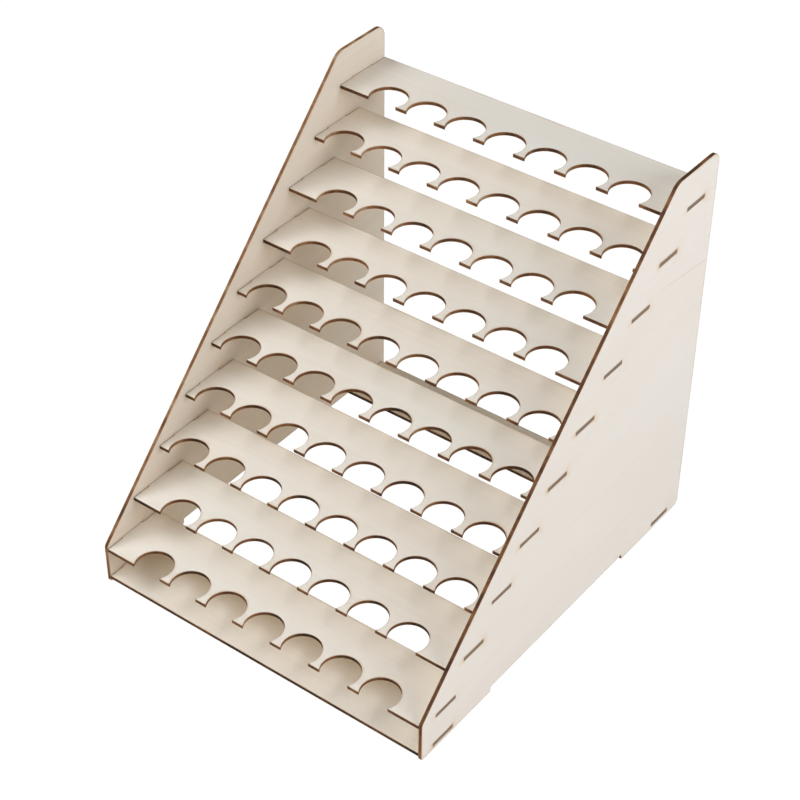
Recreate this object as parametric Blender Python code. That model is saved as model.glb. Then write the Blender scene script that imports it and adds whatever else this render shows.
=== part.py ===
"""Ten-tier paint rack: notched plywood shelves held by slotted side panels.

Every plate is 3 mm plywood. The ten shelves and two base plates end in one tab at
each side, and the tabs stand in slots through the side panels. World axes: X runs
along the shelves, -Y is the front, Z is up. The origin is the middle of the
footprint, on the surface that the rack stands on.
"""
import math

import bmesh
import bpy
from mathutils import Vector

# Driving dimensions, in metres.
PLY = 0.003                      # thickness of every plate
GAP = 0.0003                     # clearance between a tab and its slot, and at shoulders
INNER_WIDTH = 0.309              # between the inner faces of the side panels

NOTCHES_PER_TIER = (7, 7, 8, 8, 8, 8, 7, 7, 8, 7)    # lowest tier first
NOTCH_PITCH = 0.0375
NOTCH_RADIUS = 0.016
NOTCH_SETBACK = 0.009            # from the front edge back to the notch centre
NOTCH_SEGMENTS = 32              # of the full circle

SHELF_DEPTH = 0.0585
TIER_RUN = 0.0336                # each tier stands this much further back
TIER_RISE = 0.0314               # and this much higher than the one below
FIRST_TIER_TOP = 0.0354
TAB_LENGTH = 0.024               # along the depth, centred on the plate

BASE_DEPTH = 0.053
BASE_TOP = 0.0062
REAR_BASE_INSET = 0.003          # of the rear base plate from the panels' rear edges

PANEL_HEIGHT = 0.348
FRONT_EDGE_HEIGHT = 0.0375       # upright front edge, below the slope
SLOPE = math.radians(45.8)       # of the front edge above it
FOOT_LENGTH = 0.088
FOOT_HEIGHT = 0.005              # of the recess between the feet

# Corner radii of the side panel.
FRONT_FOOT_RADIUS = 0.002
FRONT_CORNER_RADIUS = 0.006
TOP_FRONT_RADIUS = 0.014
TOP_REAR_RADIUS = 0.010
REAR_FOOT_RADIUS = 0.005
RECESS_RADIUS = 0.0015
SEGMENT_ANGLE = math.radians(15)  # most that one segment of a corner turns

CUT_MARGIN = 0.002               # how far a cutter stands out of what it cuts

TIERS = len(NOTCHES_PER_TIER)
DEPTH = (TIERS - 1) * TIER_RUN + SHELF_DEPTH
FRONT = -DEPTH / 2
REAR_BASE_FRONT = -FRONT - REAR_BASE_INSET - BASE_DEPTH

PALE_FACE = (0.80, 0.72, 0.61, 1.0)
SHADED_FACE = (0.70, 0.61, 0.50, 1.0)
BASE_FACE = (0.62, 0.53, 0.43, 1.0)


def clear_scene():
    for obj in list(bpy.data.objects):
        bpy.data.objects.remove(obj, do_unlink=True)


def plywood(name, colour):
    """Unfinished plywood: pale, matt, not metallic."""
    material = bpy.data.materials.new(name)
    material.use_nodes = True
    shader = material.node_tree.nodes["Principled BSDF"]
    shader.inputs["Base Color"].default_value = colour
    shader.inputs["Roughness"].default_value = 0.68
    shader.inputs["Metallic"].default_value = 0.0
    material.diffuse_color = colour
    return material


def fillet(before, corner, after, radius):
    """Points of the arc that rounds one corner of an outline."""
    to_before = (before - corner).normalized()
    to_after = (after - corner).normalized()
    half = to_before.angle(to_after) / 2
    centre = corner + (to_before + to_after).normalized() * radius / math.sin(half)
    start = corner + to_before * radius / math.tan(half) - centre
    turn = start.angle_signed(corner + to_after * radius / math.tan(half) - centre)
    steps = max(2, math.ceil(abs(turn) / SEGMENT_ANGLE))
    arc = []
    for step in range(steps + 1):
        angle = -turn * step / steps
        cosine, sine = math.cos(angle), math.sin(angle)
        arc.append(centre + Vector((start.x * cosine - start.y * sine,
                                    start.x * sine + start.y * cosine)))
    return arc


def rounded_outline(corners):
    """Outline through (x, y, radius) corners, each rounded by its radius."""
    points = [Vector((x, y)) for x, y, _ in corners]
    outline = []
    for index, (_, _, radius) in enumerate(corners):
        before, after = points[index - 1], points[(index + 1) % len(points)]
        if radius:
            outline += fillet(before, points[index], after, radius)
        else:
            outline.append(points[index])
    return outline


def add_prism(bm, outline, bottom, thickness):
    """Extrudes an outline in the XY plane upwards into a closed prism."""
    face = bm.faces.new([bm.verts.new((p.x, p.y, bottom)) for p in outline])
    extruded = bmesh.ops.extrude_face_region(bm, geom=[face])["geom"]
    moved = [item for item in extruded if isinstance(item, bmesh.types.BMVert)]
    bmesh.ops.translate(bm, verts=moved, vec=(0, 0, thickness))


def add_block(bm, low, high):
    """Adds a rectangular block between two opposite corners."""
    outline = [Vector((low[0], low[1])), Vector((high[0], low[1])),
               Vector((high[0], high[1])), Vector((low[0], high[1]))]
    add_prism(bm, outline, low[2], high[2] - low[2])


def new_object(name, bm):
    bmesh.ops.recalc_face_normals(bm, faces=bm.faces)
    mesh = bpy.data.meshes.new(name)
    bm.to_mesh(mesh)
    bm.free()
    obj = bpy.data.objects.new(name, mesh)
    bpy.context.scene.collection.objects.link(obj)
    return obj


def cut_away(obj, name, bm):
    """Subtracts the solids in bm from obj."""
    cutter = new_object(name, bm)
    cutter.parent = obj
    cutter.hide_render = True
    cutter.display_type = "WIRE"
    boolean = obj.modifiers.new(name, "BOOLEAN")
    boolean.operation = "DIFFERENCE"
    boolean.solver = "EXACT"
    boolean.object = cutter


def plate_outline(depth):
    """A plate with its front edge on y = 0 and a tab at the middle of each side."""
    body = INNER_WIDTH / 2 - GAP
    reach = INNER_WIDTH / 2 + PLY
    near, far = (depth - TAB_LENGTH) / 2, (depth + TAB_LENGTH) / 2
    right = [(body, 0.0), (body, near), (reach, near), (reach, far), (body, far), (body, depth)]
    left = [(-x, y) for x, y in reversed(right)]
    return [Vector(point) for point in right + left]


def plate(name, depth, front, top, colour, rack):
    """A horizontal plate whose origin is the middle of its upper front edge."""
    bm = bmesh.new()
    add_prism(bm, plate_outline(depth), -PLY, PLY)
    obj = new_object(name, bm)
    obj.data.materials.append(plywood(name + "_ply", colour))
    obj.location = (0, front, top)
    obj.parent = rack
    return obj


def notched_shelf(tier, notches, rack):
    """Shelf of one tier; the notches are circles cut into its front edge."""
    name = "shelf_%02d" % (tier + 1)
    shelf = plate(name, SHELF_DEPTH, FRONT + tier * TIER_RUN,
                  FIRST_TIER_TOP + tier * TIER_RISE, PALE_FACE, rack)
    bm = bmesh.new()
    for index in range(notches):
        drill = bmesh.ops.create_cone(bm, cap_ends=True, segments=NOTCH_SEGMENTS,
                                      radius1=NOTCH_RADIUS, radius2=NOTCH_RADIUS,
                                      depth=PLY + 2 * CUT_MARGIN)
        across = (index - (notches - 1) / 2) * NOTCH_PITCH
        bmesh.ops.translate(bm, verts=drill["verts"], vec=(across, NOTCH_SETBACK, -PLY / 2))
    cut_away(shelf, name + "_notches", bm)
    return shelf


def panel_outline():
    """Side panel in profile: x from its front edge to its rear, y from the floor up."""
    slope_end = (PANEL_HEIGHT - FRONT_EDGE_HEIGHT) / math.tan(SLOPE)
    return rounded_outline([
        (0.0, 0.0, FRONT_FOOT_RADIUS),
        (FOOT_LENGTH, 0.0, RECESS_RADIUS),
        (FOOT_LENGTH, FOOT_HEIGHT, RECESS_RADIUS),
        (DEPTH - FOOT_LENGTH, FOOT_HEIGHT, RECESS_RADIUS),
        (DEPTH - FOOT_LENGTH, 0.0, RECESS_RADIUS),
        (DEPTH, 0.0, REAR_FOOT_RADIUS),
        (DEPTH, PANEL_HEIGHT, TOP_REAR_RADIUS),
        (slope_end, PANEL_HEIGHT, TOP_FRONT_RADIUS),
        (0.0, FRONT_EDGE_HEIGHT, FRONT_CORNER_RADIUS),
    ])


def add_slot(bm, plate_front, plate_depth, plate_top):
    """Cutter for the slot that takes the tab of one plate, in the panel's profile."""
    middle = plate_front + plate_depth / 2
    half = TAB_LENGTH / 2 + GAP
    add_block(bm, (middle - half, plate_top - PLY - GAP, -CUT_MARGIN),
              (middle + half, plate_top + GAP, PLY + CUT_MARGIN))


def side_panel(name, inner_face, colour, rack):
    """Upright side panel. inner_face is the x of its lower-x face."""
    bm = bmesh.new()
    add_prism(bm, panel_outline(), 0.0, PLY)
    panel = new_object(name, bm)
    panel.data.materials.append(plywood(name + "_ply", colour))
    bm = bmesh.new()
    for tier in range(TIERS):
        add_slot(bm, tier * TIER_RUN, SHELF_DEPTH, FIRST_TIER_TOP + tier * TIER_RISE)
    add_slot(bm, 0.0, BASE_DEPTH, BASE_TOP)
    add_slot(bm, REAR_BASE_FRONT - FRONT, BASE_DEPTH, BASE_TOP)
    cut_away(panel, name + "_slots", bm)
    panel.location = (inner_face, FRONT, 0)
    panel.rotation_euler = (math.pi / 2, 0, math.pi / 2)
    panel.parent = rack
    return panel


def build_rack():
    clear_scene()
    rack = bpy.data.objects.new("rack", None)
    bpy.context.scene.collection.objects.link(rack)
    side_panel("left_side_panel", -INNER_WIDTH / 2 - PLY, SHADED_FACE, rack)
    side_panel("right_side_panel", INNER_WIDTH / 2, PALE_FACE, rack)
    for tier, notches in enumerate(NOTCHES_PER_TIER):
        notched_shelf(tier, notches, rack)
    plate("front_base_plate", BASE_DEPTH, FRONT, BASE_TOP, BASE_FACE, rack)
    plate("rear_base_plate", BASE_DEPTH, REAR_BASE_FRONT, BASE_TOP, BASE_FACE, rack)


build_rack()
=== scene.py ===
import math

import bpy
from mathutils import Matrix, Vector, kdtree
from mathutils.geometry import delaunay_2d_cdt


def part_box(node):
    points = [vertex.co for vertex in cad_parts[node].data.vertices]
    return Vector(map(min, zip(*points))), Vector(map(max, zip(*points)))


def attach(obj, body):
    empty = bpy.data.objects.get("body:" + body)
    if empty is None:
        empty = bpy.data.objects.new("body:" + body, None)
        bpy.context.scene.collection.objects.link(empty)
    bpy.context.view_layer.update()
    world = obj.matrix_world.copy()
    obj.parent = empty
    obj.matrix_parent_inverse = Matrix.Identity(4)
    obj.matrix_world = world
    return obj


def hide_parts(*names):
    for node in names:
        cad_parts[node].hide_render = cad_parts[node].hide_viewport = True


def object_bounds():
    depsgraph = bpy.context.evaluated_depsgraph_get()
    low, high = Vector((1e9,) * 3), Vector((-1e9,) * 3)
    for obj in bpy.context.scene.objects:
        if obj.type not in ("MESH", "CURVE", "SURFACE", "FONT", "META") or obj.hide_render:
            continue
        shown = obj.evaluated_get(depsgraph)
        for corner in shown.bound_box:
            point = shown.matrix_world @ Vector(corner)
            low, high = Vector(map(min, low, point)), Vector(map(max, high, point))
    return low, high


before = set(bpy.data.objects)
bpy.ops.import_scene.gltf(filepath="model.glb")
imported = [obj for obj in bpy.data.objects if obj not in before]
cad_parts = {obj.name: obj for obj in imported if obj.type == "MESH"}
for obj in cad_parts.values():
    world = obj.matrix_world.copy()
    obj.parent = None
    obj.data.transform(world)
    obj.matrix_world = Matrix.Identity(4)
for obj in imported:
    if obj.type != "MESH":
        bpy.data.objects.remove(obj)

CAD_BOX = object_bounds()

# ---------------------------------------------------------------- dimensions
# Outlines are drawn in millimetres; the meshes are written in metres.
MM = 0.001
PLY = 3.0
TAB_LENGTH = 24.0
JOINT_GAP = 0.12          # air left round a tab
SHOULDER_GAP = 0.3        # air left at the end of a plate
TAB_SHY = 0.1             # how far a tab end stays behind the panel's face
NOTCH_PITCH = 37.5
NOTCH_RADIUS = 16.0
NOTCH_SETBACK = 9.0
NOTCHES = (7, 7, 8, 8, 8, 8, 7, 7, 8, 7)
NOTCH_STEPS = 62

PANEL_DEPTH = 360.9
PANEL_HEIGHT = 348.0
FRONT_EDGE = 37.5
SLOPE = math.radians(45.8)
FOOT_LENGTH = 88.0
FOOT_HEIGHT = 5.0

# Corner radii of a side panel's outline.
FRONT_FOOT_RADIUS = 2.0
RECESS_RADIUS = 1.5
REAR_FOOT_RADIUS = 5.0
TOP_REAR_RADIUS = 10.0
TOP_FRONT_RADIUS = 14.0
FRONT_CORNER_RADIUS = 6.0

EDGE_BREAK = 0.13         # worn corner between a face and a cut edge
KERF_CORNER = 0.28        # smallest corner the laser leaves in an outline
SLOT_CORNER = 0.15        # and in a slot
SHARP_TURN = math.radians(20)       # a corner that turns less isn't rounded
CORNER_SHARE = 0.4        # of an outline's side that a kerf corner may take
GLUE_DENT = 0.05          # the glue lines burn back a little
LONGEST_STEP = 3.0        # an outline is divided at least this finely
FILLET_STEP = math.radians(6)       # most that one segment of a rounded corner turns
FEWEST_STEPS = 3          # in a rounded corner
MITRE_LIMIT = 0.35        # keeps an inset corner from running far out
SMOOTH_ANGLE = math.radians(32)     # sharper angles along a cut edge stay sharp

# Cut edge in section: how far behind the outline, and height in the sheet.
EDGE_SECTION = ((EDGE_BREAK, 0.0), (0.0, EDGE_BREAK), (GLUE_DENT, PLY / 3),
                (0.0, PLY / 2), (GLUE_DENT, 2 * PLY / 3),
                (0.0, PLY - EDGE_BREAK), (EDGE_BREAK, PLY))

# Distance from the outline and spacing of the points added inside a face.
FACE_RINGS = ((1.2, 1.6), (3.5, 3.2))
RING_CLEARANCE = 0.93     # of a ring's distance, kept from every other cut edge
FACE_GRID = 9.0
GRID_CLEARANCE = FACE_RINGS[-1][0] + FACE_GRID / 3
MERGE_DISTANCE = 1e-6     # points of a face that are closer become one
EDGE_SAMPLE = 0.3         # spacing of the points that distances are taken to

# Smoke stains at a slot's front and rear ends: how far they reach.
FRONT_SMOKE = 3.0
REAR_SMOKE = 4.0

# How dark each edge is drawn, from 0, fresh, to 1, black: the laser's burn, and at the bottom of
# a notch painted shade as well.
FRONT_BURN = 0.48
REAR_BURN = 0.32
NOTCH_BURN = 0.22         # at the mouth of a notch
# Painted shade: the back of a notch is drawn darker, by up to this much at its bottom, falling
# off towards the mouth with this power.
NOTCH_SHADE_RISE = 0.43    # added towards its bottom
NOTCH_SHADE_POWER = 1.5
SHOULDER_BURN = 0.7
TAB_END_BURN = -0.25      # with what its corners add, a tab's end has none
SLOT_BURN = 0.3
CORNER_BURN = 0.25        # added where the laser paused to turn
LEFT_BURNS = (0.32, 0.24)           # of a panel's outline, at its foot and at its top
RIGHT_BURNS = (0.5, 0.5)
TIER_BURN = 0.08          # how much a tier is darker or lighter than the middle
DARKEST_TIER = 2          # counted from 0
TIER_BURN_CYCLE = 10      # tiers

# The plates are cut from sheets of veneer, each from another place, in millimetres.
SHELVES_PER_ROW = 3
SHELF_SHEET_STEP = 900.0
SHELF_SHEET_SHIFT = (37.0, 83.0)
FRONT_BASE_SHEET = (0.0, 0.0)
REAR_BASE_SHEET = (420.0, 130.0)
LEFT_SHEET = (3000.0, 1400.0)
RIGHT_SHEET = (1500.0, 700.0)
# The pattern of a cut edge starts further on for every sheet place and every loop.
RUN_PER_SHEET_ROW = 1.7
RUN_PER_LOOP = 53.0


# ---------------------------------------------------------------- outlines
# An outline is a closed list of (x, y, darkness) in millimetres. The wood is on
# its left, so holes run clockwise. The darkness says how dark the edge is drawn:
# the laser's burn, and at the bottom of a notch painted shade as well.
def subdivided(points):
    """The outline with every long side divided."""
    out = []
    for index, (x, y, burn_and_shade) in enumerate(points):
        next_x, next_y, next_burn = points[(index + 1) % len(points)]
        count = max(1, math.ceil(math.hypot(next_x - x, next_y - y) / LONGEST_STEP))
        for step in range(count):
            t = step / count
            out.append((x + (next_x - x) * t, y + (next_y - y) * t,
                        burn_and_shade + (next_burn - burn_and_shade) * t))
    return out


def with_kerf_corners(points, radius=KERF_CORNER):
    """Sharp corners become small arcs, and the laser's pause darkens them."""
    out = []
    for index, (x, y, burn_and_shade) in enumerate(points):
        here = Vector((x, y))
        before = Vector(points[index - 1][:2]) - here
        after = Vector(points[(index + 1) % len(points)][:2]) - here
        turn = math.pi - before.angle(after)
        if turn < SHARP_TURN:
            out.append((x, y, burn_and_shade))
            continue
        run = min(radius * math.tan(turn / 2),
                  CORNER_SHARE * before.length, CORNER_SHARE * after.length)
        start = here + before.normalized() * run
        end = here + after.normalized() * run
        bow = (start + end) / 2 * 0.5 + here * 0.5
        for point in (start, bow, end):
            out.append((point.x, point.y, min(1.0, burn_and_shade + CORNER_BURN)))
    return out


def fillet(before, corner, after, radius, burn_and_shade):
    """Points of the arc that rounds one corner of an outline."""
    before, corner, after = Vector(before), Vector(corner), Vector(after)
    to_before = (before - corner).normalized()
    to_after = (after - corner).normalized()
    half = to_before.angle(to_after) / 2
    centre = corner + (to_before + to_after).normalized() * radius / math.sin(half)
    start = corner + to_before * radius / math.tan(half) - centre
    end = corner + to_after * radius / math.tan(half) - centre
    turn = start.angle_signed(end)
    steps = max(FEWEST_STEPS, math.ceil(abs(turn) / FILLET_STEP))
    out = []
    for step in range(steps + 1):
        angle = -turn * step / steps
        cosine, sine = math.cos(angle), math.sin(angle)
        out.append((centre.x + start.x * cosine - start.y * sine,
                    centre.y + start.x * sine + start.y * cosine, burn_and_shade))
    return out


def plate_outline(depth, reach, notches, burn_shift):
    """A plate: front edge on y = 0, a tab at the middle of each side."""
    body = reach - PLY - SHOULDER_GAP
    end = reach - TAB_SHY
    near, far = (depth - TAB_LENGTH) / 2, (depth + TAB_LENGTH) / 2
    front_burn = FRONT_BURN + burn_shift
    points = [(-body, 0.0, front_burn)]
    mouth = math.acos(NOTCH_SETBACK / NOTCH_RADIUS)
    first, last = 1.5 * math.pi - mouth, -0.5 * math.pi + mouth
    for index in range(notches):
        centre = (index - (notches - 1) / 2) * NOTCH_PITCH
        for step in range(NOTCH_STEPS + 1):
            angle = first + (last - first) * step / NOTCH_STEPS
            # Painted shade: the back of the notch is drawn darker towards its bottom, on top of
            # the laser's burn.
            painted_shade = NOTCH_SHADE_RISE * max(0.0, math.sin(angle)) ** NOTCH_SHADE_POWER
            burn_and_shade = NOTCH_BURN + burn_shift + painted_shade
            points.append((centre + NOTCH_RADIUS * math.cos(angle),
                           NOTCH_SETBACK + NOTCH_RADIUS * math.sin(angle), burn_and_shade))
    right = [(body, near, SHOULDER_BURN), (end, near, TAB_END_BURN), (end, far, TAB_END_BURN),
             (body, far, SHOULDER_BURN), (body, depth, REAR_BURN)]
    left = [(-x, y, burn_and_shade) for x, y, burn_and_shade in reversed(right)]
    points += [(body, 0.0, front_burn)] + right + left
    return subdivided(with_kerf_corners(points))


def panel_outline(low_burn, high_burn):
    """A side panel in profile: x from its front edge back, y up."""
    slope_end = (PANEL_HEIGHT - FRONT_EDGE) / math.tan(SLOPE)
    corners = [(0.0, 0.0, FRONT_FOOT_RADIUS),
               (FOOT_LENGTH, 0.0, RECESS_RADIUS),
               (FOOT_LENGTH, FOOT_HEIGHT, RECESS_RADIUS),
               (PANEL_DEPTH - FOOT_LENGTH, FOOT_HEIGHT, RECESS_RADIUS),
               (PANEL_DEPTH - FOOT_LENGTH, 0.0, RECESS_RADIUS),
               (PANEL_DEPTH, 0.0, REAR_FOOT_RADIUS),
               (PANEL_DEPTH, PANEL_HEIGHT, TOP_REAR_RADIUS),
               (slope_end, PANEL_HEIGHT, TOP_FRONT_RADIUS),
               (0.0, FRONT_EDGE, FRONT_CORNER_RADIUS)]
    points = []
    for index, corner in enumerate(corners):
        before, after = corners[index - 1], corners[(index + 1) % len(corners)]
        burn_and_shade = low_burn + (high_burn - low_burn) * corner[1] / PANEL_HEIGHT
        points += fillet(before[:2], corner[:2], after[:2], corner[2], burn_and_shade)
    return subdivided(points)


def slot_outline(front, back, bottom, top):
    """A hole for a tab, clockwise."""
    points = [(front, bottom, SLOT_BURN), (front, top, SLOT_BURN),
              (back, top, SLOT_BURN), (back, bottom, SLOT_BURN)]
    return subdivided(with_kerf_corners(points, SLOT_CORNER))


def inset(points, distance):
    """The outline moved into the wood by a mitred offset."""
    out = []
    for index, (x, y, burn_and_shade) in enumerate(points):
        here = Vector((x, y))
        arriving = (here - Vector(points[index - 1][:2])).normalized()
        leaving = (Vector(points[(index + 1) % len(points)][:2]) - here).normalized()
        normal = Vector((-arriving.y - leaving.y, arriving.x + leaving.x))
        normal.normalize()
        mitre = normal.dot(Vector((-arriving.y, arriving.x)))
        scale = distance / max(MITRE_LIMIT, mitre)
        out.append((x + normal.x * scale, y + normal.y * scale, burn_and_shade))
    return out


def spaced(points, spacing):
    """Points along the outline at an even spacing."""
    out = []
    left = 0.0
    for index, (x, y, burn_and_shade) in enumerate(points):
        next_x, next_y, _ = points[(index + 1) % len(points)]
        length = math.hypot(next_x - x, next_y - y)
        while left < length:
            t = left / length
            out.append((x + (next_x - x) * t, y + (next_y - y) * t, burn_and_shade))
            left += spacing
        left -= length
    return out


# ---------------------------------------------------------------- one cut plate
def face_plan(loops, slots):
    """Triangles of a flat face between its loops, with points near the cut edges.

    Returns the points, the triangles and, for every point, its distance to the
    nearest cut edge, how dark that edge is drawn (its burn, with painted shade at
    the bottom of a notch) and how close a slot's end is.
    """
    edge_samples = [sample for loop in loops for sample in spaced(loop, EDGE_SAMPLE)]
    tree = kdtree.KDTree(len(edge_samples))
    for index, (x, y, _) in enumerate(edge_samples):
        tree.insert((x, y, 0.0), index)
    tree.balance()

    points, bounds = [], []
    for loop in loops:
        start = len(points)
        points += [(x, y) for x, y, _ in inset(loop, EDGE_BREAK)]
        bound = list(range(start, len(points)))
        bounds.append(bound if loop is loops[0] else bound[::-1])
    fixed = len(points)
    for distance, spacing in FACE_RINGS:
        for loop in loops:
            for x, y, _ in inset(spaced(loop, spacing), distance):
                if tree.find((x, y, 0.0))[2] > RING_CLEARANCE * distance:
                    points.append((x, y))
    low_x = min(p[0] for p in points[:fixed])
    high_x = max(p[0] for p in points[:fixed])
    low_y = min(p[1] for p in points[:fixed])
    high_y = max(p[1] for p in points[:fixed])
    for column in range(1, int((high_x - low_x) / FACE_GRID)):
        for row in range(1, int((high_y - low_y) / FACE_GRID)):
            x = low_x + (column + 0.5 * (row % 2)) * FACE_GRID
            y = low_y + row * FACE_GRID
            if tree.find((x, y, 0.0))[2] > GRID_CLEARANCE:
                points.append((x, y))

    found, _, faces, original, _, inside = delaunay_2d_cdt(
        [Vector(p) for p in points], [], bounds, 1, MERGE_DISTANCE, True)
    new_index = {}
    for index, sources in enumerate(original):
        for source in sources:
            new_index[source] = index
    triangles = [face for face, sources in zip(faces, inside) if set(sources) == {0}]
    used = sorted({i for face in triangles for i in face})
    order = {old: new for new, old in enumerate(used)}
    ring_points = [order[new_index[i]] for i in range(fixed)]
    triangles = [[order[i] for i in face] for face in triangles]
    coordinates = [(found[i].x, found[i].y) for i in used]

    rim, burn_and_shade, smoke = [], [], []
    for x, y in coordinates:
        _, nearest, distance = tree.find((x, y, 0.0))
        rim.append(max(0.0, distance - EDGE_BREAK))
        burn_and_shade.append(edge_samples[nearest][2])
        haze = 0.0
        for front, back, bottom, top in slots:
            middle = (bottom + top) / 2
            haze += math.exp(-((x - front) ** 2 + (y - middle) ** 2) / FRONT_SMOKE ** 2)
            haze += math.exp(-((x - back) ** 2 + (y - middle) ** 2) / REAR_SMOKE ** 2)
        smoke.append(haze)
    return coordinates, triangles, ring_points, rim, burn_and_shade, smoke


def cut_plate(name, loops, slots, to_world, sheet_origin, materials):
    """A closed plate of plywood: two faces and a cut edge round every loop.

    to_world maps (x, y, height in the sheet) in millimetres to metres.
    materials are those of the lower face, the upper face and the cut edge.
    """
    coordinates, triangles, ring_points, rim, burn_and_shade, smoke = face_plan(loops, slots)
    vertices, faces, uvs, material_indices = [], [], [], []
    rim_values, burn_and_shade_values, smoke_values = [], [], []
    sheet_x, sheet_y = sheet_origin

    def face_uv(point):
        return ((point[0] + sheet_x) * MM, (point[1] + sheet_y) * MM)

    layers = []
    for height in (0.0, PLY):
        layers.append(len(vertices))
        vertices += [to_world(x, y, height) for x, y in coordinates]
        rim_values += rim
        burn_and_shade_values += burn_and_shade
        smoke_values += smoke
    for triangle in triangles:
        low = [layers[0] + i for i in reversed(triangle)]
        faces.append(low)
        uvs += [face_uv(coordinates[i]) for i in reversed(triangle)]
        material_indices.append(0)
        high = [layers[1] + i for i in triangle]
        faces.append(high)
        uvs += [face_uv(coordinates[i]) for i in triangle]
        material_indices.append(1)

    first_ring = 0
    for number, loop in enumerate(loops):
        count = len(loop)
        rings = []
        for depth, height in EDGE_SECTION:
            if height in (0.0, PLY):
                layer = layers[0] if height == 0.0 else layers[1]
                rings.append([layer + ring_points[first_ring + i] for i in range(count)])
                continue
            start = len(vertices)
            for x, y, dark in inset(loop, depth):
                vertices.append(to_world(x, y, height))
                rim_values.append(0.0)
                burn_and_shade_values.append(dark)
                smoke_values.append(0.0)
            rings.append(list(range(start, start + count)))
        first_ring += count
        run = [sheet_x + RUN_PER_SHEET_ROW * sheet_y + RUN_PER_LOOP * number]
        for index in range(count):
            x, y, _ = loop[index]
            next_x, next_y, _ = loop[(index + 1) % count]
            run.append(run[-1] + math.hypot(next_x - x, next_y - y))
        for level in range(len(EDGE_SECTION) - 1):
            low, high = EDGE_SECTION[level][1] * MM, EDGE_SECTION[level + 1][1] * MM
            for index in range(count):
                following = (index + 1) % count
                faces.append([rings[level][index], rings[level][following],
                              rings[level + 1][following], rings[level + 1][index]])
                here, there = run[index] * MM, run[index + 1] * MM
                uvs += [(here, low), (there, low), (there, high), (here, high)]
                material_indices.append(2)

    mesh = bpy.data.meshes.new(name)
    mesh.from_pydata(vertices, [], faces)
    uv_layer = mesh.uv_layers.new(name="sheet")
    uv_layer.data.foreach_set("uv", [value for uv in uvs for value in uv])
    # For every point: distance to the cut edge, how dark the edge is drawn (laser burn, and
    # painted shade at the bottom of a notch) and smoke from a slot.
    for key, values in (("rim", rim_values), ("burn_and_shade", burn_and_shade_values), ("smoke", smoke_values)):
        mesh.attributes.new(key, "FLOAT", "POINT").data.foreach_set("value", values)
    for material in materials:
        mesh.materials.append(material)
    mesh.polygons.foreach_set("material_index", material_indices)
    mesh.polygons.foreach_set("use_smooth", [slot == 2 for slot in material_indices])
    mesh.update()
    mesh.set_sharp_from_angle(angle=SMOOTH_ANGLE)
    piece = bpy.data.objects.new(name, mesh)
    bpy.context.scene.collection.objects.link(piece)
    return piece


# ---------------------------------------------------------------- materials
class Graph:
    """Short names for building a material's nodes."""

    def __init__(self, name):
        self.material = bpy.data.materials.new(name)
        self.material.use_nodes = True
        self.tree = self.material.node_tree
        self.tree.nodes.clear()

    def node(self, kind, inputs=(), **settings):
        node = self.tree.nodes.new(kind)
        for key, value in settings.items():
            setattr(node, key, value)
        for key, value in inputs:
            if isinstance(value, bpy.types.NodeSocket):
                self.tree.links.new(value, node.inputs[key])
            else:
                node.inputs[key].default_value = value
        return node

    def math(self, operation, a, b=0.0, c=0.0, clamp=False):
        return self.node("ShaderNodeMath", ((0, a), (1, b), (2, c)),
                         operation=operation, use_clamp=clamp).outputs[0]

    def fade(self, value, low, high, to_low=0.0, to_high=1.0):
        return self.node("ShaderNodeMapRange",
                         (("Value", value), ("From Min", low), ("From Max", high),
                          ("To Min", to_low), ("To Max", to_high)),
                         interpolation_type="SMOOTHSTEP").outputs["Result"]

    def mix(self, factor, a, b, blend="MIX"):
        return self.node("ShaderNodeMix", ((0, factor), (6, a), (7, b)),
                         data_type="RGBA", blend_type=blend).outputs[2]

    def attribute(self, name):
        return self.node("ShaderNodeAttribute", attribute_name=name).outputs["Fac"]

    def stretch(self, vector, x, y):
        return self.node("ShaderNodeVectorMath", ((0, vector), (1, (x, y, 1.0))),
                         operation="MULTIPLY").outputs[0]

    def noise(self, vector, detail=2.0, roughness=0.5, seed=0.0):
        return self.node("ShaderNodeTexNoise",
                         (("Vector", vector), ("W", seed), ("Scale", 1.0),
                          ("Detail", detail), ("Roughness", roughness)),
                         noise_dimensions="4D").outputs["Fac"]

    def pattern(self, vector, look, seed=0.0):
        """Noise as one of the lines under "Noise patterns" describes it."""
        x_scale, y_scale, detail, roughness, offset = look
        return self.noise(self.stretch(vector, x_scale, y_scale), detail, roughness,
                          seed + offset)

    def finish(self, colour, roughness, height, bump_distance, specular):
        bump = self.node("ShaderNodeBump", (("Height", height), ("Strength", 1.0),
                                            ("Distance", bump_distance)))
        shader = self.node("ShaderNodeBsdfPrincipled",
                           (("Base Color", colour), ("Roughness", roughness),
                            ("Specular IOR Level", specular),
                            ("Normal", bump.outputs["Normal"])))
        self.node("ShaderNodeOutputMaterial", (("Surface", shader.outputs[0]),))
        return self.material


# Colours of the veneer's pale, warm and grey parts and of what marks it.
PALE = (0.845, 0.745, 0.610, 1.0)
WARM = (0.775, 0.640, 0.490, 1.0)
GREY = (0.795, 0.740, 0.625, 1.0)
PORE = (0.520, 0.400, 0.290, 1.0)
SCORCH = (0.560, 0.365, 0.180, 1.0)
SMOKE = (0.880, 0.690, 0.430, 1.0)
CHAR_LINE = (0.150, 0.080, 0.040, 1.0)

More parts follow.
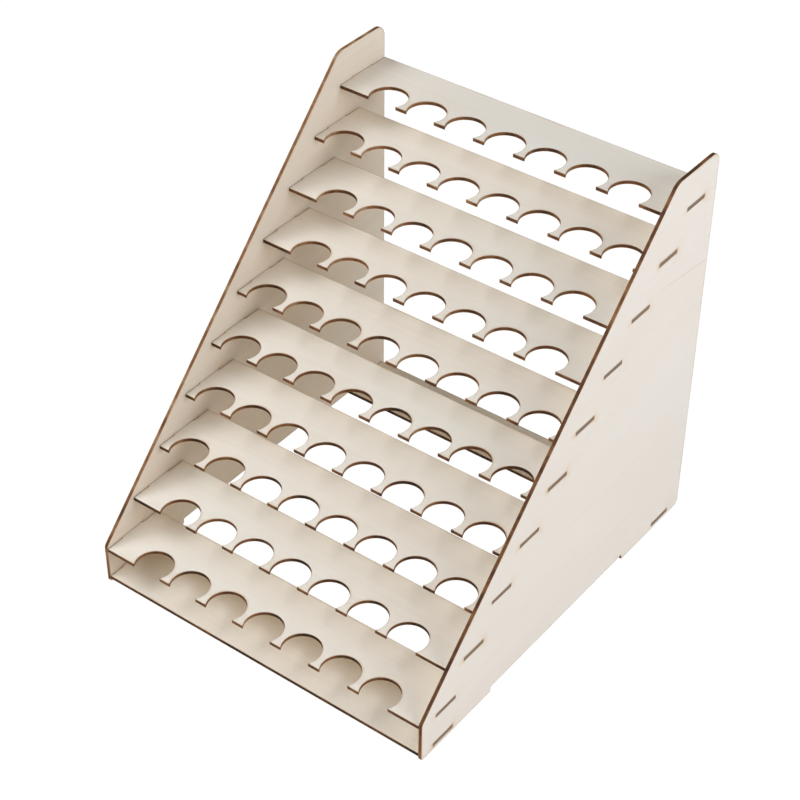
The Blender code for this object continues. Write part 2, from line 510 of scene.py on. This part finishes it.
# Noise patterns: cycles per metre along the grain and across it, or for a cut edge
# along the cut and through the sheet, then detail, roughness and what is added to the
# material's seed.
FACE_DRIFT = (3.5, 16.0, 2.0, 0.5, 0.0)
FACE_FIBRE = (26.0, 2100.0, 3.0, 0.6, 2.0)
FACE_CLOUD = (9.0, 26.0, 2.0, 0.5, 3.0)
FACE_CAST = (4.0, 9.0, 1.0, 0.5, 4.0)
FACE_FLECK = (190.0, 2900.0, 1.0, 0.5, 5.0)
FACE_SOOT = (85.0, 85.0, 3.0, 0.6, 6.0)
FACE_PATCH = (22.0, 22.0, 1.0, 0.5, 7.0)
EDGE_STRIPE = (2600.0, 180.0, 3.0, 0.6, 11.0)
EDGE_GRAIN = (240.0, 4200.0, 3.0, 0.6, 12.0)
EDGE_SLOW = (75.0, 60.0, 3.0, 0.55, 13.0)
EDGE_BROAD = (17.0, 10.0, 1.0, 0.5, 14.0)

# Year rings: how far they bend, in metres, their scale along and across the grain, and
# the detail, roughness and seed offset of their noise.
RING_BEND = 0.030
RING_ALONG, RING_ACROSS = 2.2, 230.0
RING_NOISE = (3.0, 0.55, 1.0)

# What rings, fibre and clouds add to the tone, and the range that is kept of it.
RING_TONE, FIBRE_TONE, CLOUD_TONE = 0.40, 0.26, 0.34
TONE_RANGE = (0.30, 0.72)
CAST_RANGE, CAST_STRENGTH = (0.48, 0.75), 0.35
FLECK_RANGE, FLECK_STRENGTH = (0.66, 0.78), 0.35
SMOKE_STRENGTH = 0.75
SMOKE_PATCHES = (0.30, 0.65, 0.25, 1.0)

# The scorched halo along a cut edge reaches this many millimetres, further in patches,
# and soot makes it uneven. A darker edge has a stronger one, so at the bottom of a
# notch the painted shade strengthens it too.
HALO_REACH, HALO_PATCH_REACH = 1.3, 3.2
HALO_PATCHES = (0.42, 0.70)
HALO_SOOT, HALO_EVEN = 0.9, 0.35
HALO_BURN, HALO_STRENGTH = 0.5, 0.28
# The charred line right at the edge, in millimetres, and its strength by how dark the
# edge is drawn, painted shade at the bottom of a notch included.
LINE_SOOT = -0.30
LINE_RANGE = (-0.12, 0.22)
LINE_STRENGTH = (0.2, 0.7, 0.35, 0.85)

# Metres of relief, and the strength of the shine, of a face and of a cut edge, what
# makes up their relief, and how much a pattern adds to the least roughness.
FACE_RELIEF, FACE_SHINE = 0.00006, 0.30
FIBRE_HEIGHT, RING_HEIGHT, FLECK_DEPTH = 0.6, 0.4, 0.6
FACE_ROUGHNESS = (0.16, 0.56)
EDGE_RELIEF, EDGE_SHINE = 0.00009, 0.10
STRIPE_HEIGHT, GRAIN_HEIGHT = 0.7, 0.3
EDGE_ROUGHNESS = (0.2, 0.62)

# A joint in the veneer wanders by up to half of this, and is this dark.
SEAM_WANDER = 0.0016
SEAM_STRENGTH = 0.55
SEAM_CORE, SEAM_RIM = 0.00012, 0.00055
SEAM_FADE_START = 0.55    # of its length
SEAM_PATCHES = (0.25, 0.6, 0.5, 1.0)


def tinted(colour, tint):
    return tuple(a * b for a, b in zip(colour, tint)) + (1.0,)


def veneer(name, seed, paleness, tint, splice=None):
    """A sanded, unfinished plywood face. UV x runs along the grain, in metres.

    paleness is the least share of the pale colour in the warm one. splice is
    where a joint in the veneer starts and where it has faded out.
    """
    g = Graph(name)
    pale, warm, grey = tinted(PALE, tint), tinted(WARM, tint), tinted(GREY, tint)
    sheet = g.node("ShaderNodeUVMap", uv_map="sheet").outputs["UV"]
    split = g.node("ShaderNodeSeparateXYZ", (("Vector", sheet),))
    along, across = split.outputs[0], split.outputs[1]

    drift = g.pattern(sheet, FACE_DRIFT, seed)
    bent = g.math("MULTIPLY_ADD", drift, RING_BEND, across)
    rings_at = g.node("ShaderNodeCombineXYZ",
                      (("X", g.math("MULTIPLY", along, RING_ALONG)),
                       ("Y", g.math("MULTIPLY", bent, RING_ACROSS)))).outputs[0]
    detail, detail_roughness, offset = RING_NOISE
    rings = g.noise(rings_at, detail, detail_roughness, seed + offset)
    fibre = g.pattern(sheet, FACE_FIBRE, seed)
    cloud = g.pattern(sheet, FACE_CLOUD, seed)
    cast = g.pattern(sheet, FACE_CAST, seed)
    fleck = g.fade(g.pattern(sheet, FACE_FLECK, seed), *FLECK_RANGE)

    tone = g.math("ADD", g.math("MULTIPLY", rings, RING_TONE),
                  g.math("MULTIPLY", fibre, FIBRE_TONE))
    tone = g.math("MULTIPLY_ADD", cloud, CLOUD_TONE, tone)
    tone = g.fade(tone, *TONE_RANGE, paleness, 1.0)
    colour = g.mix(tone, warm, pale)
    colour = g.mix(g.fade(cast, *CAST_RANGE, 0.0, CAST_STRENGTH), colour, grey)
    colour = g.mix(g.math("MULTIPLY", fleck, FLECK_STRENGTH), colour, PORE)

    # How dark the nearest edge is drawn, with painted shade at the bottom of a notch, sets how
    # strong the halo and the charred line are.
    rim, burn_and_shade = g.attribute("rim"), g.attribute("burn_and_shade")
    soot = g.pattern(sheet, FACE_SOOT, seed)
    patch = g.pattern(sheet, FACE_PATCH, seed)
    haze = g.math("MULTIPLY", g.attribute("smoke"), g.fade(patch, *SMOKE_PATCHES))
    haze = g.math("MULTIPLY", haze, SMOKE_STRENGTH, clamp=True)
    colour = g.mix(haze, colour, SMOKE, "MULTIPLY")
    reach = g.math("MULTIPLY_ADD", g.fade(patch, *HALO_PATCHES), HALO_PATCH_REACH, HALO_REACH)
    reach = g.math("MULTIPLY", reach, g.math("MULTIPLY_ADD", soot, HALO_SOOT, HALO_EVEN))
    halo = g.math("SUBTRACT", 1.0, g.math("DIVIDE", rim, reach), clamp=True)
    halo = g.math("POWER", halo, 2.0)
    strength = g.math("MULTIPLY_ADD", burn_and_shade, HALO_BURN, HALO_STRENGTH)
    halo = g.math("MULTIPLY", halo, strength, clamp=True)
    colour = g.mix(halo, colour, SCORCH)
    line = g.fade(g.math("MULTIPLY_ADD", soot, LINE_SOOT, rim), *LINE_RANGE, 1.0, 0.0)
    line = g.math("MULTIPLY", line, g.fade(burn_and_shade, *LINE_STRENGTH))
    colour = g.mix(line, colour, CHAR_LINE)

    height = g.math("ADD", g.math("MULTIPLY", fibre, FIBRE_HEIGHT),
                    g.math("MULTIPLY", rings, RING_HEIGHT))
    height = g.math("SUBTRACT", height, g.math("MULTIPLY", fleck, FLECK_DEPTH))
    if splice:
        (x0, y0), (x1, y1) = splice
        run = Vector((x1 - x0, y1 - y0))
        direction = run.normalized()
        from_start = g.node("ShaderNodeVectorMath", ((0, sheet), (1, (x0, y0, 0.0))),
                            operation="SUBTRACT").outputs[0]
        aside = g.node("ShaderNodeVectorMath",
                       ((0, from_start), (1, (-direction.y, direction.x, 0.0))),
                       operation="DOT_PRODUCT").outputs["Value"]
        ahead = g.node("ShaderNodeVectorMath",
                       ((0, from_start), (1, (direction.x, direction.y, 0.0))),
                       operation="DOT_PRODUCT").outputs["Value"]
        wander = g.math("MULTIPLY_ADD", drift, SEAM_WANDER,
                        g.math("SUBTRACT", aside, SEAM_WANDER / 2))
        seam = g.fade(g.math("ABSOLUTE", wander), SEAM_CORE, SEAM_RIM, 1.0, 0.0)
        fading = g.fade(ahead, run.length * SEAM_FADE_START, run.length, 1.0, 0.0)
        seam = g.math("MULTIPLY", seam, fading)
        seam = g.math("MULTIPLY", seam, g.fade(soot, *SEAM_PATCHES))
        colour = g.mix(g.math("MULTIPLY", seam, SEAM_STRENGTH), colour, PORE)
        height = g.math("SUBTRACT", height, seam)
    roughness = g.math("MULTIPLY_ADD", fibre, *FACE_ROUGHNESS)
    return g.finish(colour, roughness, height, FACE_RELIEF, FACE_SHINE)


# Colours of the cut edge, from lightly burnt to black, of its rusty and fresh parts
# and of the tabs' ends.
TAN_EDGE = (0.430, 0.285, 0.160, 1.0)
BROWN_EDGE = (0.260, 0.115, 0.045, 1.0)
DARK_EDGE = (0.110, 0.047, 0.019, 1.0)
BLACK_EDGE = (0.035, 0.018, 0.010, 1.0)
RUSTY_EDGE = (0.520, 0.245, 0.090, 1.0)
FRESH_EDGE = (0.560, 0.420, 0.270, 1.0)
TAB_END = (0.215, 0.160, 0.115, 1.0)

# Where the plies are, as parts of the thickness from the sheet's middle.
CORE_RANGE = (0.15, 0.18)
GLUE_LEVEL, GLUE_RANGE = 1 / 6, (0.012, 0.045)
LIP_RANGE = (0.30, 0.5)

# What each pattern adds to how dark an edge is drawn, and where each colour begins and ends.
SLOW_DARK = (1.4, -0.66)
BROAD_DARK = -1.1
STRIPE_DARK = 0.36
CORE_DARK = 0.12
GLUE_DARK = 0.22
GRAIN_DARK = 0.2
BROWN_RANGE, DARK_RANGE, BLACK_RANGE = (0.0, 0.4), (0.35, 0.72), (0.7, 1.0)
FRESH_BURNS = (0.10, 0.22, 0.8, 0.0)
TAB_END_BURNS = (0.0, 0.08, 0.85, 0.0)
RUST_BROAD = (0.42, 0.62)
RUST_SLOW = (0.3, 0.6, 0.4, 1.0)
RUST_STRENGTH = 0.6


def charred_edge(name):
    """The laser-cut edge. UV x runs along the cut, y through the sheet, in metres."""
    g = Graph(name)
    sheet = g.node("ShaderNodeUVMap", uv_map="sheet").outputs["UV"]
    split = g.node("ShaderNodeSeparateXYZ", (("Vector", sheet),))
    # How dark the edge is drawn: the laser's burn, and painted shade at the bottom of a notch.
    burn_and_shade = g.attribute("burn_and_shade")
    height = g.math("DIVIDE", split.outputs[1], PLY * MM)
    off_middle = g.math("ABSOLUTE", g.math("SUBTRACT", height, 0.5))
    core = g.fade(off_middle, *CORE_RANGE, 1.0, 0.0)
    off_glue = g.math("ABSOLUTE", g.math("SUBTRACT", off_middle, GLUE_LEVEL))
    glue = g.fade(off_glue, *GLUE_RANGE, 1.0, 0.0)
    lip = g.fade(off_middle, *LIP_RANGE)

    stripe = g.pattern(sheet, EDGE_STRIPE)
    grain = g.pattern(sheet, EDGE_GRAIN)
    slow = g.pattern(sheet, EDGE_SLOW)
    broad = g.pattern(sheet, EDGE_BROAD)

    dark = g.math("ADD", burn_and_shade, g.math("MULTIPLY_ADD", slow, *SLOW_DARK))
    dark = g.math("MULTIPLY_ADD", broad, BROAD_DARK, g.math("ADD", dark, -BROAD_DARK / 2))
    dark = g.math("MULTIPLY_ADD", stripe, STRIPE_DARK,
                  g.math("SUBTRACT", dark, STRIPE_DARK / 2))
    dark = g.math("MULTIPLY_ADD", core, CORE_DARK, dark)
    dark = g.math("MULTIPLY_ADD", glue, GLUE_DARK, dark)
    dark = g.math("MULTIPLY_ADD", grain, GRAIN_DARK,
                  g.math("SUBTRACT", dark, GRAIN_DARK / 2), clamp=True)
    colour = g.mix(g.fade(dark, *BROWN_RANGE), TAN_EDGE, BROWN_EDGE)
    colour = g.mix(g.fade(dark, *DARK_RANGE), colour, DARK_EDGE)
    colour = g.mix(g.fade(dark, *BLACK_RANGE), colour, BLACK_EDGE)
    fresh = g.math("MULTIPLY", g.fade(burn_and_shade, *FRESH_BURNS), g.math("SUBTRACT", 1.0, core))
    colour = g.mix(fresh, colour, FRESH_EDGE)
    colour = g.mix(g.fade(burn_and_shade, *TAB_END_BURNS), colour, TAB_END)
    rust = g.math("MULTIPLY", lip, g.fade(broad, *RUST_BROAD))
    rust = g.math("MULTIPLY", rust, g.fade(slow, *RUST_SLOW))
    colour = g.mix(g.math("MULTIPLY", rust, RUST_STRENGTH), colour, RUSTY_EDGE)

    relief = g.math("ADD", g.math("MULTIPLY", stripe, STRIPE_HEIGHT),
                    g.math("MULTIPLY", grain, GRAIN_HEIGHT))
    roughness = g.math("MULTIPLY_ADD", stripe, *EDGE_ROUGHNESS)
    return g.finish(colour, roughness, relief, EDGE_RELIEF, EDGE_SHINE)


# A faint joint in the outer veneer of the right panel, from its rear edge forward, as
# points of the panel's profile.
SPLICE_REAR, SPLICE_END = (357.5, 251.0), (278.5, 261.0)
SPLICE = [((x + RIGHT_SHEET[0]) * MM, (y + RIGHT_SHEET[1]) * MM)
          for x, y in (SPLICE_REAR, SPLICE_END)]

# Seed, paleness and tint of each veneer.
SHELF_LOOK = (1.0, 0.35, (0.99, 1.0, 0.98))
PANEL_LOOK = (21.0, 0.58, (1.0, 1.02, 1.06))
# The base plates get a veneer with its own grain, drawn warmer and darker than the shelves':
# that difference in tone is painted shade for the plates under the shelves.
BASE_SHADED_LOOK = (41.0, 0.20, (0.99, 0.99, 0.955))
# The left panel's inner face gets a veneer with its own grain, drawn warmer and darker than the
# panel veneer: that difference in tone is painted shade for the face between the shelves.
LEFT_SHADED_LOOK = (61.0, 0.20, (0.96, 0.945, 0.915))

EDGE = charred_edge("charred_edge")
SHELF_FACE = veneer("shelf_veneer", *SHELF_LOOK)
PANEL_FACE = veneer("panel_veneer", *PANEL_LOOK)
# Painted shade: the left panel's inner face is a darker, warmer copy of the panel veneer.
LEFT_SHADED_FACE = veneer("left_panel_shaded_veneer", *LEFT_SHADED_LOOK)
# Painted shade: the base plates' veneer is a darker, warmer copy of the shelves'.
BASE_SHADED_FACE = veneer("base_shaded_veneer", *BASE_SHADED_LOOK)
SPLICED_FACE = veneer("panel_veneer_spliced", *PANEL_LOOK, SPLICE)


# ---------------------------------------------------------------- the rack
def put_on(piece, node):
    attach(piece, "root")
    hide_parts(node)


def make_plate(node, notches, burn_shift, material, sheet_origin):
    """A shelf or a base plate, where and as large as its CAD node."""
    low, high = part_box(node)
    front, top = low.y / MM, high.z / MM
    depth, reach = (high.y - low.y) / MM, high.x / MM

    def to_world(x, y, height):
        return (x * MM, (y + front) * MM, (top - PLY + height) * MM)

    outline = plate_outline(depth, reach, notches, burn_shift)
    piece = cut_plate("ply_" + node, [outline], [], to_world, sheet_origin,
                      (material, material, EDGE))
    put_on(piece, node)


def make_panel(node, outer_is_high, burns, sheet_origin, inner_material, outer_material):
    """A side panel with a slot for every plate. outer_is_high says that +x is outside."""
    low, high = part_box(node)
    front, left_face = low.y / MM, low.x / MM
    slots = []
    for plate in PLATES:
        plate_low, plate_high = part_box(plate)
        middle = (plate_low.y + plate_high.y) / 2 / MM - front
        half = TAB_LENGTH / 2 + JOINT_GAP
        slots.append((middle - half, middle + half,
                      plate_low.z / MM - JOINT_GAP, plate_high.z / MM + JOINT_GAP))

    def to_world(x, y, height):
        return ((left_face + height) * MM, (x + front) * MM, y * MM)

    loops = [panel_outline(*burns)] + [slot_outline(*slot) for slot in slots]
    faces = (inner_material, outer_material)
    if not outer_is_high:
        faces = (outer_material, inner_material)
    piece = cut_plate("ply_" + node, loops, slots, to_world, sheet_origin, faces + (EDGE,))
    put_on(piece, node)


SHELVES = ["shelf_%02d" % (tier + 1) for tier in range(len(NOTCHES))]
PLATES = SHELVES + ["front_base_plate", "rear_base_plate"]
for tier, node in enumerate(SHELVES):
    burn_shift = TIER_BURN * math.cos(2 * math.pi * (tier - DARKEST_TIER) / TIER_BURN_CYCLE)
    sheet = (SHELF_SHEET_STEP * (tier % SHELVES_PER_ROW) + SHELF_SHEET_SHIFT[0] * tier,
             SHELF_SHEET_SHIFT[1] * tier)
    make_plate(node, NOTCHES[tier], burn_shift, SHELF_FACE, sheet)
# The base plates take the darker veneer, painted shade under the shelves.
make_plate("front_base_plate", 0, 0.0, BASE_SHADED_FACE, FRONT_BASE_SHEET)
make_plate("rear_base_plate", 0, 0.0, BASE_SHADED_FACE, REAR_BASE_SHEET)
# The left panel's inner face takes the darker veneer, painted shade between the shelves.
make_panel("left_side_panel", False, LEFT_BURNS, LEFT_SHEET, LEFT_SHADED_FACE, PANEL_FACE)
make_panel("right_side_panel", True, RIGHT_BURNS, RIGHT_SHEET, PANEL_FACE, SPLICED_FACE)

# ---------------------------------------------------------------- studio
STUDIO_RADIUS = 12.0
STUDIO_SIDES = 96
WALL_HEIGHT = 14.0
CIRCLE = [(STUDIO_RADIUS * math.cos(2 * math.pi * i / STUDIO_SIDES),
           STUDIO_RADIUS * math.sin(2 * math.pi * i / STUDIO_SIDES))
          for i in range(STUDIO_SIDES)]

# Reflectance and glow of the floor as the camera sees it, of the floor as it lights
# the rack, and of the wall round them.
WHITE = (1.0, 1.0, 1.0, 1.0)
FLOOR_PAPER = ((0.135, 0.125, 0.110, 1.0), 0.945)
BOUNCE_PAPER = ((0.290, 0.270, 0.235, 1.0), 0.57)
WALL_PAPER = ((0.0, 0.0, 0.0, 1.0), 1.0)
WORLD_STRENGTH = 0.02

CENTRE = (CAD_BOX[0] + CAD_BOX[1]) / 2
SOFTBOX_DISTANCE = 2.4
SOFTBOX_SIZE = 1.6
LIGHT_COLOUR = (0.970, 1.045, 1.200)
# Degrees round the rack from its front, degrees up, and watts.
SOFTBOXES = (("left_softbox", -60.0, 50.0, 40.0),
             ("side_softbox", 95.0, 25.0, 36.5),
             ("front_softbox", 0.0, 40.0, 20.0),
             ("rear_softbox", 150.0, 50.0, 3.0))


def studio_paper(name, points, faces, paper_look, for_camera):
    """Paper with a light of its own, seen either by the camera or by the rack."""
    reflectance, glow = paper_look
    mesh = bpy.data.meshes.new(name)
    mesh.from_pydata(points, [], faces)
    paper = bpy.data.objects.new(name, mesh)
    bpy.context.scene.collection.objects.link(paper)
    paper.visible_camera = for_camera
    for ray in ("diffuse", "glossy", "transmission", "volume_scatter", "shadow"):
        setattr(paper, "visible_" + ray, not for_camera)
    g = Graph(name)
    matt = g.node("ShaderNodeBsdfDiffuse", (("Color", reflectance),))
    light = g.node("ShaderNodeEmission", (("Color", WHITE), ("Strength", glow)))
    both = g.node("ShaderNodeAddShader", ((0, matt.outputs[0]), (1, light.outputs[0])))
    g.node("ShaderNodeOutputMaterial", (("Surface", both.outputs[0]),))
    mesh.materials.append(g.material)


disc = [(x, y, 0.0) for x, y in CIRCLE]
around = list(range(STUDIO_SIDES))
hoop = [(x, y, z) for z in (0.0, WALL_HEIGHT) for x, y in CIRCLE]
hoop_faces = []
for this_side in around:
    next_side = (this_side + 1) % STUDIO_SIDES
    hoop_faces.append([this_side, next_side, STUDIO_SIDES + next_side, STUDIO_SIDES + this_side])
studio_paper("studio_floor", disc, [around], FLOOR_PAPER, True)
studio_paper("studio_floor_bounce", disc, [around], BOUNCE_PAPER, False)
studio_paper("studio_wall", hoop, hoop_faces, WALL_PAPER, True)

world = bpy.data.worlds.new("studio_world")
world.use_nodes = True
world.node_tree.nodes["Background"].inputs["Color"].default_value = WHITE
world.node_tree.nodes["Background"].inputs["Strength"].default_value = WORLD_STRENGTH
bpy.context.scene.world = world


def direction_to(azimuth, elevation):
    """Unit vector from the rack, by degrees round from its front and degrees up."""
    a, e = math.radians(azimuth), math.radians(elevation)
    return Vector((math.sin(a) * math.cos(e), -math.cos(a) * math.cos(e), math.sin(e)))


def soft_light(name, azimuth, elevation, power):
    """A square soft box aimed at the rack's middle."""
    back = direction_to(azimuth, elevation)
    light = bpy.data.lights.new(name, "AREA")
    light.shape = "SQUARE"
    light.size = SOFTBOX_SIZE
    light.energy = power
    light.color = LIGHT_COLOUR
    lamp = bpy.data.objects.new(name, light)
    lamp.location = CENTRE + back * SOFTBOX_DISTANCE
    lamp.rotation_euler = back.to_track_quat("Z", "Y").to_euler()
    bpy.context.scene.collection.objects.link(lamp)


for softbox in SOFTBOXES:
    soft_light(*softbox)

# ---------------------------------------------------------------- camera
AZIMUTH, ELEVATION = 36.889, 39.425
ROLL = math.radians(0.5005)
CAMERA_AT = Vector((0.74226, -0.99047, 1.14204))
FOCAL_LENGTH = 91.593
SENSOR_WIDTH = 36.0
SHIFT_X, SHIFT_Y = 0.00125, 0.03
NEAR_CLIP = 0.01

back = direction_to(AZIMUTH, ELEVATION)
level_right = Vector((math.cos(math.radians(AZIMUTH)), math.sin(math.radians(AZIMUTH)), 0.0))
level_up = back.cross(level_right)
right = level_right * math.cos(ROLL) + level_up * math.sin(ROLL)
up = level_up * math.cos(ROLL) - level_right * math.sin(ROLL)
lens = bpy.data.cameras.new("studio_camera")
lens.lens = FOCAL_LENGTH
lens.sensor_width = SENSOR_WIDTH
lens.shift_x = SHIFT_X
lens.shift_y = SHIFT_Y
lens.clip_start = NEAR_CLIP
camera = bpy.data.objects.new("studio_camera", lens)
camera.matrix_world = (Matrix.Translation(CAMERA_AT)
                       @ Matrix((right, up, back)).transposed().to_4x4())
bpy.context.scene.collection.objects.link(camera)
bpy.context.scene.camera = camera
bpy.context.scene.view_settings.view_transform = "Standard"
bpy.context.scene.view_settings.look = "None"
